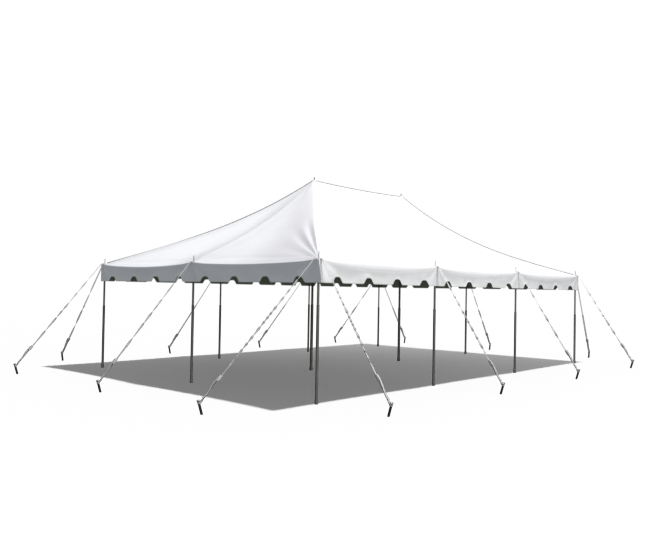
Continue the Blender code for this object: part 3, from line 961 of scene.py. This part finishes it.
def metal_wear_group():
    """Marks on worn metal: cloudy grime, long scratches and small pits, each from 0 to 1."""
    group, given = open_group("metal_wear", {"Spot": "NodeSocketVector"}, ("Grime", "Scratches", "Pits"))
    spot = given["Spot"]
    cloudy = {"Vector": spot, "Scale": 14.0, "Detail": 7.0, "Roughness": 0.65}
    cloud = add_node(group, "ShaderNodeTexNoise", cloudy)
    along = {"Vector": spot, "Scale": (260.0, 260.0, 9.0), "Rotation": (0.10, 0.07, 0.0)}
    stretched = add_node(group, "ShaderNodeMapping", along).outputs["Vector"]
    lines = add_node(group, "ShaderNodeTexNoise", {"Vector": stretched, "Scale": 1.0, "Detail": 3.0})
    dents = add_node(group, "ShaderNodeTexVoronoi", {"Vector": spot, "Scale": 210.0})
    results = {
        "Grime": cloud.outputs["Fac"],
        "Scratches": ranged(group, lines.outputs["Fac"], 0.64, 0.72),
        "Pits": ranged(group, dents.outputs["Distance"], 0.08, 0.30, 1.0, 0.0),
    }
    add_node(group, "NodeGroupOutput", results)
    return group


metal_wear = metal_wear_group()


def metal_finish(name, colour, soiled, bare, gloss, metallic, bare_above=None, tip=(0.16, 0.16, 0.155)):
    """Worn metal from its colour, its soiled colour and that of the metal below, with a tip of bare metal."""
    material, shader = blank_finish(name)
    tree = material.node_tree
    spot = add_node(tree, "ShaderNodeTexCoord", {}).outputs["Object"]
    wear = add_node(tree, "ShaderNodeGroup", {"Spot": spot}, node_tree=metal_wear).outputs
    surface = blended(tree, (*colour, 1.0), (*soiled, 1.0), ranged(tree, wear["Grime"], 0.42, 0.72))
    surface = blended(tree, surface, (*bare, 1.0), wear["Scratches"])
    if bare_above is not None:
        height = add_node(tree, "ShaderNodeSeparateXYZ", {0: spot}).outputs["Z"]
        is_tip = reckoned(tree, "GREATER_THAN", height, bare_above)
        surface = blended(tree, surface, (*tip, 1.0), is_tip)
        metallic = ranged(tree, is_tip, 0.0, 1.0, metallic, 0.9)
    pitted = bumped(tree, 0.25, 0.0004, True, Height=wear["Pits"])
    looks = {
        "Metallic": metallic,
        "Base Color": surface,
        "Roughness": ranged(tree, wear["Grime"], 0.0, 1.0, gloss - 0.12, gloss + 0.15),
        "Normal": bumped(tree, 0.3, 0.0002, True, Height=wear["Scratches"], Normal=pitted),
    }
    feed(shader, looks)
    return material


def finish_solid(name, finish):
    """Give a piece of the solid model its finish."""
    for place in bpy.data.objects[name].material_slots:
        place.material = finish


bare_steel = (0.36, 0.36, 0.34)
# The side poles' dark olive is partly painted shade; the centre poles, standing under the top, get a darker
# copy as painted shade
side_coat_and_shade = ((0.172, 0.184, 0.152), (0.122, 0.130, 0.105), bare_steel)
centre_coat_shaded = ((0.090, 0.100, 0.075), (0.065, 0.070, 0.052), bare_steel)
side_pole_paint_and_shade = metal_finish("side_pole_paint_and_shade", *side_coat_and_shade, 0.45, 0.25, side_pole_shoulder)
centre_pole_paint_shaded = metal_finish("centre_pole_paint_shaded", *centre_coat_shaded, 0.45, 0.25, centre_pole_shoulder)
for pole_name, *_ in side_poles:
    finish_solid(f"side_pole_{pole_name}", side_pole_paint_and_shade)
for pole_name in ("left", "right"):
    finish_solid(f"centre_pole_{pole_name}", centre_pole_paint_shaded)


# The rings and pads at the poles. A pad of doubled leather lies under the top on each side pole's shoulder,
# and a ring of plated steel is pressed through the top where each pin comes out.
plated_steel = metal_finish(
    "plated_steel", (0.72, 0.72, 0.71), (0.52, 0.51, 0.49), (0.80, 0.80, 0.79), 0.42, 0.55
)
pad_leather = webbing_finish("pad_leather", (0.10, 0.085, 0.065), (0.06, 0.05, 0.04), 0.0016)


def spun(name, profile, spot, sides):
    """A round closed piece from the ring of points of its section, as (radius, height)."""
    shape = bmesh.new()
    points = [shape.verts.new((radius, 0.0, height)) for radius, height in profile]
    edges = [shape.edges.new(pair) for pair in zip(points, points[1:] + points[:1])]
    bmesh.ops.spin(
        shape,
        geom=points + edges,
        cent=(0.0, 0.0, 0.0),
        axis=(0.0, 0.0, 1.0),
        angle=math.tau,
        steps=sides,
        use_merge=True,
    )
    bmesh.ops.recalc_face_normals(shape, faces=shape.faces[:])
    bmesh.ops.translate(shape, verts=shape.verts[:], vec=spot)
    return finished(shape, name)


eyelet_section = (
    (0.0072, -0.0030), (0.0078, 0.0002), (0.0092, 0.0018), (0.0120, 0.0020), (0.0150, 0.0011),
    (0.0160, 0.0001), (0.0160, -0.0030),
)
pad_section = ((0.0070, 0.0001), (0.0440, 0.0001), (0.0450, 0.0012), (0.0440, 0.0036), (0.0070, 0.0036))
for pole_name, pin, *_ in side_poles:
    eyelet = spun(f"eyelet_{pole_name}", eyelet_section, (pin.x, pin.y, eave_top), 32)
    mounted(eyelet, "pole_metal", plated_steel)
    pad = spun(f"pole_pad_{pole_name}", pad_section, (pin.x, pin.y, side_pole_shoulder), 48)
    mounted(pad, "white_webbing", pad_leather)
peak_ring_section = (
    (0.0098, -0.0010), (0.0098, 0.0210), (0.0112, 0.0224), (0.0150, 0.0224), (0.0164, 0.0210),
    (0.0168, 0.0050), (0.0270, 0.0044), (0.0290, 0.0028), (0.0292, -0.0010),
)
for peak_name, peak in zip(("left", "right"), peaks):
    ring = spun(f"peak_ring_{peak_name}", peak_ring_section, (peak.x, peak.y, peak_top), 40)
    mounted(ring, "pole_metal", plated_steel)


# The guys. A ring of bent steel wire is hooked over each pin, and flat white webbing runs from it over the
# eave down to a ratchet, whose short lower strap is looped round the stake. The webbing's loose end hangs
# down over the ratchet and is tucked in a keeper by the stake. A corner has two guys, ring over ring.
strap_width = 0.028
strap_thickness = 0.0022
strap_half = strap_thickness / 2.0 + 0.0001
ring_wire = 0.0030
ring_bar = 0.0300
ring_lift = 0.0060
ring_step = 0.0068
over_eave = 0.0698
stake_radius = 0.0145
stake_lean = math.radians(16.0)
loop_height = 0.162
loop_opens = 1.15
ratchet_up_guy = 0.420
keeper_up_guy = 0.125
split_up_guy = 0.074
spool_spot = -0.020
bolt_spot = 0.045
straight_from = 0.040
twist_from = 0.36
across_guy = Matrix.Rotation(math.pi / 2.0, 4, "X")


def guy_list():
    """Each guy's name, its pin, its stake, its place in the stack of rings and its half turns of twist."""
    drift = {
        "left_front": 0.430, "right_front": 0.350, "right_middle": 0.250, "right_back": 0.300,
        "back_2": -0.200, "back_3": -0.200,
    }
    twists = {
        "front_1": 13, "front_2": 9, "front_3": 4, "front_4": 6, "left_front": 12, "left_middle": 5,
        "left_back": 6, "back_1": 3, "back_4": 2, "right_middle": 3,
    }
    guys = []
    for row, y, reach in (("front", front_y, -1.330), ("back", back_y, 1.730)):
        for number in range(4):
            name = f"{row}_{number + 1}"
            pin = Vector((left_x + bay * number, y, 0.0))
            stake = pin + Vector((drift.get(name, 0.0), reach, 0.0))
            guys.append((name, pin, stake, 0, twists.get(name, 0)))
    for end, x, reach in (("left", left_x, -1.750), ("right", right_x, 1.750)):
        for across, y, level in (("front", front_y, 1), ("back", back_y, 1), ("middle", ridge_y, 0)):
            name = f"{end}_{across}"
            pin = Vector((x, y, 0.0))
            stake = pin + Vector((reach, drift.get(name, 0.0), 0.0))
            guys.append((name, pin, stake, level, twists.get(name, 0)))
    return guys


def add_strip(straps, route, sides):
    """Lay flat webbing along a route in a shape, its half width at each point given by sides."""
    flat = straps.loops.layers.uv.verify()
    length = [0.0]
    for before, after in zip(route, route[1:]):
        length.append(length[-1] + (after - before).length)
    for point, column, row in grid_places(straps, len(route) - 1, 4):
        across = row / 2.0 - 1.0
        for corner in point.link_loops:
            corner[flat].uv = (length[column], across * strap_width / 2.0)
        point.co = route[column] + sides[column] * across


def bezier(start, pull, push, end, steps):
    """Points on a smooth bend from start to end."""
    points = []
    for step in range(steps + 1):
        share = step / steps
        left = 1.0 - share
        point = start * left ** 3 + pull * 3 * left * left * share
        points.append(point + push * 3 * left * share * share + end * share ** 3)
    return points


def arc(middle, first, second, radius, begins, ends, steps):
    """Points on a round bend about a middle, its angles in degrees from first towards second."""
    points = []
    for step in range(steps + 1):
        turn = math.radians(begins + (ends - begins) * step / steps)
        points.append(middle + (first * math.cos(turn) + second * math.sin(turn)) * radius)
    return points


def squared(sides, route):
    """The sides turned square to the route, at half the webbing's width."""
    turned = []
    for number, side in enumerate(sides):
        before = route[max(number - 1, 0)]
        after = route[min(number + 1, len(route) - 1)]
        way = (after - before).normalized()
        turned.append((side - way * side.dot(way)).normalized() * strap_width / 2.0)
    return turned


def guy_straps(distance, level, half_turns):
    """All the webbing of one guy, upright over +X with its pin on Z, and the seats of ratchet and ring."""
    ring_height = eave_top + ring_lift + level * ring_step
    across = Vector((0.0, 1.0, 0.0))
    inward = Vector((-1.0, 0.0, 0.0))
    up_stake = Vector((math.sin(stake_lean), 0.0, math.cos(stake_lean)))
    to_tent = Vector((-up_stake.z, 0.0, up_stake.x))
    loop_middle = Vector((distance, 0.0, 0.0)) + up_stake * loop_height
    end = loop_middle + to_tent * (stake_radius + 0.0033)
    bend = Vector((over_eave, 0.0, ring_height))
    down = (end - bend).normalized()
    out = down.cross(across)
    length = (end - bend).length
    ratchet_run = length - ratchet_up_guy
    straps = bmesh.new()

    def at(run, lift=0.0, aside=0.0):
        """A point a run down the guy from its bend over the eave, lifted off its line and moved aside."""
        return bend + down * run + out * lift + across * aside

    # The long strap: sewn back on itself at the ring, over the eave, twisted and wound on the spool
    under = strap_half * 2.2
    route = [at(0.062, -under)]
    route += bezier(
        at(0.030, -under),
        at(0.010, -under),
        bend + inward * 0.010 - upward * under,
        bend + inward * 0.024 - upward * under,
        6,
    )
    bar = Vector((ring_bar, 0.0, ring_height))
    route += arc(bar, upward, inward, ring_wire + strap_half, 150.0, 10.0, 8)
    route += bezier(
        bend + inward * 0.022 + upward * 0.0004,
        bend + inward * 0.006 + upward * 0.0006,
        at(0.006, 0.0008),
        at(0.026),
        7,
    )
    sides = [across] * len(route)
    straight_to = ratchet_run + spool_spot - 0.022
    twist_to = straight_to - 0.12
    steps = 40 + 10 * half_turns
    for step in range(1, steps + 1):
        run = straight_from + (straight_to - straight_from) * step / steps
        share = min(max((run - twist_from) / (twist_to - twist_from), 0.0), 1.0)
        wander = 0.025 * math.sin(share * 19.0 + distance * 40.0 + level) * math.sin(math.pi * share)
        turned = math.pi * half_turns * (share - math.sin(math.tau * share) / 18.0 + wander)
        turned -= 0.38 * math.sin(2.0 * turned)
        route.append(at(run, -0.004 * math.sin(math.pi * run / length)))
        sides.append(across * math.cos(turned) + out * math.sin(turned))
    spool = at(ratchet_run + spool_spot, 0.001)
    for step in range(30):
        turn = math.radians(205.0 - 26.0 * step)
        radius = 0.0135 - 0.0026 * step / 13.0
        route.append(spool + (down * math.cos(turn) - out * math.sin(turn)) * radius)
        sides.append(across * (-1.0) ** half_turns)
    add_strip(straps, route, squared(sides, route))

    # The loose end: off the spool, over the ratchet's grip and down to the keeper, and a little past it
    keeper = length - keeper_up_guy
    off_spool = ratchet_run + spool_spot
    off_grip = ratchet_run + 0.072
    route = []
    for step in range(12):
        share = step / 12.0
        route.append(at(off_spool + (off_grip - off_spool) * share, 0.0152 + 0.0086 * eased(share * 1.6)))
    for step in range(33):
        share = step / 32.0
        run = off_grip + (keeper + 0.058 - off_grip) * share
        past = max(run - keeper - 0.013, 0.0)
        lift = 0.0042 + 0.0196 * (1.0 - eased(share / 0.62)) + 5.0 * past * past + 0.10 * past
        lift += 0.006 * math.sin(math.pi * min(share / 0.70, 1.0)) ** 2
        route.append(at(run, lift, 0.12 * past))
    add_strip(straps, route, squared([across] * len(route), route))

    # The keeper: a short band sewn round both straps
    route = []
    for step in range(25):
        turn = math.tau * step / 24.0
        wide = math.copysign(abs(math.cos(turn)) ** 0.35, math.cos(turn)) * (strap_width / 2.0 + 0.0022)
        deep = math.copysign(abs(math.sin(turn)) ** 0.60, math.sin(turn)) * 0.0060
        route.append(at(keeper, 0.0016 + deep, wide))
    add_strip(straps, route, [down * 0.013] * len(route))

    # The lower strap: round the ratchet's bolt, sewn together, then parted round the stake
    bolt = ratchet_run + bolt_spot
    split = length - split_up_guy
    beside = strap_half + 0.0002
    stops = (split, split - 0.02, bolt + 0.04, bolt + 0.014)
    route = bezier(*[at(run, -beside) for run in stops], 6)
    route += arc(at(bolt), down, -out, 0.0044 + strap_half, 35.0, 325.0, 12)
    route += bezier(*[at(run, beside) for run in reversed(stops)], 6)
    sides = [across] * len(route)
    grip = stake_radius + strap_half + 0.0004
    parted = Matrix.Rotation(loop_opens, 3, to_tent.cross(across))
    joining = Matrix.Rotation(-loop_opens, 3, to_tent.cross(across))
    first = loop_middle + parted @ to_tent * grip
    leg = bezier(at(split, beside), at(split + 0.034, beside), first - parted @ across * 0.030, first, 14)[1:]
    route += leg
    sides += [across.lerp(up_stake, eased((number + 1) / len(leg))) for number in range(len(leg))]
    hold = arc(loop_middle, to_tent, across, grip, 66.0, 294.0, 16)[1:-1]
    route += hold
    sides += [up_stake] * len(hold)
    last = loop_middle + joining @ to_tent * grip
    leg = bezier(last, last + joining @ across * 0.030, at(split + 0.034, -beside), at(split, -beside), 14)
    route += leg
    sides += [up_stake.lerp(-across, eased(number / (len(leg) - 1.0))) for number in range(len(leg))]
    add_strip(straps, route, squared(sides, route))
    ratchet_seat = Matrix.Translation(at(ratchet_run)) @ Matrix((down, across, out)).transposed().to_4x4()
    return straps, ratchet_seat, Matrix.Translation((0.0, 0.0, ring_height))


def add_block(shape, size, spot, rounding):
    """A plate or bar of a size at a spot, its edges across the guy rounded."""
    made = bmesh.ops.create_cube(shape, size=1.0)["verts"]
    bmesh.ops.scale(shape, verts=made, vec=size)
    bmesh.ops.translate(shape, verts=made, vec=spot)
    edges = [edge for edge in shape.edges if edge.verts[0] in made]
    along_y = [edge for edge in edges if abs(edge.verts[0].co.y - edge.verts[1].co.y) > size[1] * 0.9]
    bmesh.ops.bevel(
        shape, geom=along_y, offset=rounding, affect="EDGES", segments=4, profile=0.5, material=-1
    )


def add_rod(shape, radius, length, spot, sides):
    """A rod across the guy, centred on a spot."""
    bmesh.ops.create_cone(
        shape,
        cap_ends=True,
        segments=sides,
        radius1=radius,
        radius2=radius,
        depth=length,
        matrix=Matrix.Translation(spot) @ across_guy,
    )


def ratchet_pattern():
    """One ratchet, its strap along X with the stake towards +X, and Z out of the guy."""
    shape = bmesh.new()
    for face in (-1.0, 1.0):
        add_block(shape, (0.098, 0.0022, 0.025), (0.010, face * 0.0162, 0.001), 0.0095)
        add_block(shape, (0.094, 0.0020, 0.015), (0.021, face * 0.0224, 0.012), 0.0065)
        hub = Vector((spool_spot, face * 0.0183, 0.001))
        rim = bmesh.ops.create_circle(
            shape, cap_ends=True, segments=32, radius=0.0168, matrix=Matrix.Translation(hub) @ across_guy
        )["verts"]
        for point in rim[1::2]:
            point.co = hub + (point.co - hub) * 0.84
        grown = bmesh.ops.extrude_face_region(shape, geom=[rim[0].link_faces[0]])["geom"]
        risen = [item for item in grown if isinstance(item, bmesh.types.BMVert)]
        bmesh.ops.translate(shape, verts=risen, vec=(0.0, face * 0.0026, 0.0))
        add_rod(shape, 0.0070, 0.0042, (bolt_spot, face * 0.0198, 0.0), 6)
        add_rod(shape, 0.0052, 0.0026, (spool_spot, face * 0.0248, 0.001), 16)
    add_rod(shape, 0.0042, 0.0440, (bolt_spot, 0.0, 0.0), 16)
    add_rod(shape, 0.0070, 0.0460, (spool_spot, 0.0, 0.001), 20)
    add_rod(shape, 0.0062, 0.0468, (0.062, 0.0, 0.0140), 20)
    add_block(shape, (0.012, 0.0440, 0.0034), (0.036, 0.0, 0.0125), 0.0012)
    add_block(shape, (0.016, 0.0320, 0.0026), (0.016, 0.0, 0.0045), 0.0010)
    bmesh.ops.recalc_face_normals(shape, faces=shape.faces[:])
    mesh = bpy.data.meshes.new("ratchet_pattern")
    shape.to_mesh(mesh)
    shape.free()
    return mesh


def ring_pattern():
    """One guy's ring: a bow that hooks behind the pin, and a straight bar for the webbing."""
    points = []
    for step in range(25):
        turn = math.radians(90.0 + 180.0 * step / 24.0)
        points.append((ring_bar + math.cos(turn) * (ring_bar + 0.0098), math.sin(turn) * 0.0232, 0.0))
    points += [(ring_bar, -0.0116, 0.0), (ring_bar, 0.0, 0.0), (ring_bar, 0.0116, 0.0)]
    line = bpy.data.curves.new("ring_pattern", "CURVE")
    line.dimensions = "3D"
    line.bevel_depth = ring_wire
    line.bevel_resolution = 3
    bow = line.splines.new("POLY")
    bow.points.add(len(points) - 1)
    for knot, point in zip(bow.points, points):
        knot.co = (*point, 1.0)
    bow.use_cyclic_u = True
    bent = bpy.data.objects.new("ring_pattern", line)
    studio.collection.objects.link(bent)
    mesh = bpy.data.meshes.new_from_object(bent)
    bpy.data.objects.remove(bent)
    return mesh


def add_copy(shape, mesh, matrix):
    """Add a copy of a mesh to a shape, set by a matrix."""
    spare = mesh.copy()
    spare.transform(matrix)
    shape.from_mesh(spare)
    bpy.data.meshes.remove(spare)


white_webbing = webbing_finish("white_webbing", (0.92, 0.92, 0.90), (0.80, 0.79, 0.75), 0.0019, 1.0)
ratchet_mesh = ratchet_pattern()
ring_mesh = ring_pattern()
guys = guy_list()
for name, pin, stake, level, half_turns in guys:
    run = stake - pin
    upright = Matrix.Translation(pin) @ Matrix.Rotation(math.atan2(run.y, run.x), 4, "Z")
    straps, ratchet_seat, ring_seat = guy_straps(run.length, level, half_turns)
    straps.transform(upright)
    webbing = mounted(finished(straps, f"webbing_{name}"), "white_webbing", white_webbing)
    give_thickness(webbing, strap_thickness, 0.0)
    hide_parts(f"guy_{name}")
    steelwork = bmesh.new()
    add_copy(steelwork, ratchet_mesh, upright @ ratchet_seat)
    add_copy(steelwork, ring_mesh, upright @ ring_seat)
    fittings = mounted(finished(steelwork, f"fittings_{name}"), "ratchet_steel", plated_steel)
    fittings.data.set_sharp_from_angle(angle=math.radians(38.0))
bpy.data.meshes.remove(ratchet_mesh)
bpy.data.meshes.remove(ring_mesh)


# The stakes. Round bars of forged steel with heads spread by the hammer are driven in leaning away from
# the tent, dark with mill scale and bright on their hammered heads.
hammered_above = 0.183
forged_steel = metal_finish(
    "forged_steel",
    (0.040, 0.038, 0.034),
    (0.075, 0.058, 0.042),
    (0.30, 0.29, 0.28),
    0.52,
    0.6,
    hammered_above,
    (0.56, 0.55, 0.53),
)
for name, *_ in guys:
    finish_solid(f"stake_{name}", forged_steel)
